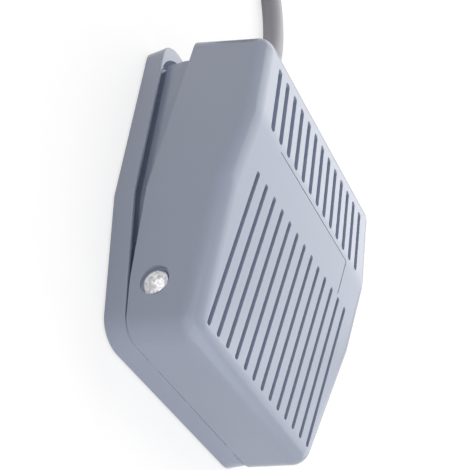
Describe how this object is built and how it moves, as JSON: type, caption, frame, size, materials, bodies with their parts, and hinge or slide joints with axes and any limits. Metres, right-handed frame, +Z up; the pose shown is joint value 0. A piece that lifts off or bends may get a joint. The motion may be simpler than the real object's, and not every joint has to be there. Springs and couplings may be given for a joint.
{
  "type": "foot switch",
  "caption": "Low grey foot switch with a hinged, grooved pedal over a flat base, domed hinge pin, spring return, snap switch inside and a round cable at the toe.",
  "frame": {"origin": "middle of the body from above, on the floor that its four rubber feet stand on", "axes": "+X from the hinged heel end to the toe, where the cable leaves; +Y to the left of someone who looks to the toe; +Z up"},
  "size_m": [0.2452, 0.1167, 0.0335],
  "materials": {
    "shell": "satin grey moulding",
    "base": "satin grey moulding",
    "chrome": "polished",
    "steel": "plain",
    "rubber": "matt",
    "switch_body": "matt",
    "button": "smooth",
    "brass": "plain",
    "cable": "soft satin sheath",
    "brown_wire": "smooth",
    "blue_wire": "smooth",
    "black_wire": "smooth",
    "copper": "bright strands"
  },
  "bodies": {
    "base": {"base_tray": "base", "switch_housing": "base", "return_spring": "steel", "rubber_feet": "rubber", "housing_screws": "steel", "switch_case": "switch_body", "switch_cover": "switch_body", "lever_pin": "steel", "terminal_common": "brass", "terminal_open": "brass", "terminal_closed": "brass", "switch_screws": "steel", "switch_nuts": "steel", "cable_boot": "cable", "cable_end": "cable", "cable_clamp": "base", "clamp_screws": "steel", "lead_brown": "brown_wire", "lead_blue": "blue_wire", "lead_black": "black_wire", "cord": "cable", "cord_coil": "cable", "cord_tail": "cable", "core_brown": "brown_wire", "core_blue": "blue_wire", "core_black": "black_wire", "copper_ends": "copper"},
    "pedal": {"pedal": "shell", "hinge_pin": "chrome"},
    "lever": {"switch_lever": "steel"},
    "button": {"switch_button": "button"}
  },
  "joints": [
    {"name": "pedal_hinge", "type": "hinge", "parent": "base", "child": "pedal", "pos_m": [-0.03319, 0, 0.01175], "axis": [0, 1, 0], "range_deg": [0, 6], "stiffness_Nm_per_rad": 0.6, "springref_deg": -14.32, "deforming": ["return_spring"]},
    {"name": "lever_hinge", "type": "hinge", "parent": "base", "child": "lever", "pos_m": [-0.02294, 0, 0.0201], "axis": [0, 1, 0], "range_deg": [0, 10.4]},
    {"name": "button_slide", "type": "slide", "parent": "base", "child": "button", "axis": [0, 0, -1], "range_m": [0, 0.0011]}
  ],
  "couplings": [
    {"joint": "lever_hinge", "follows": "pedal_hinge", "ratio": 1.7},
    {"joint": "button_slide", "follows": "pedal_hinge", "m_per_rad": 0.00955}
  ]
}
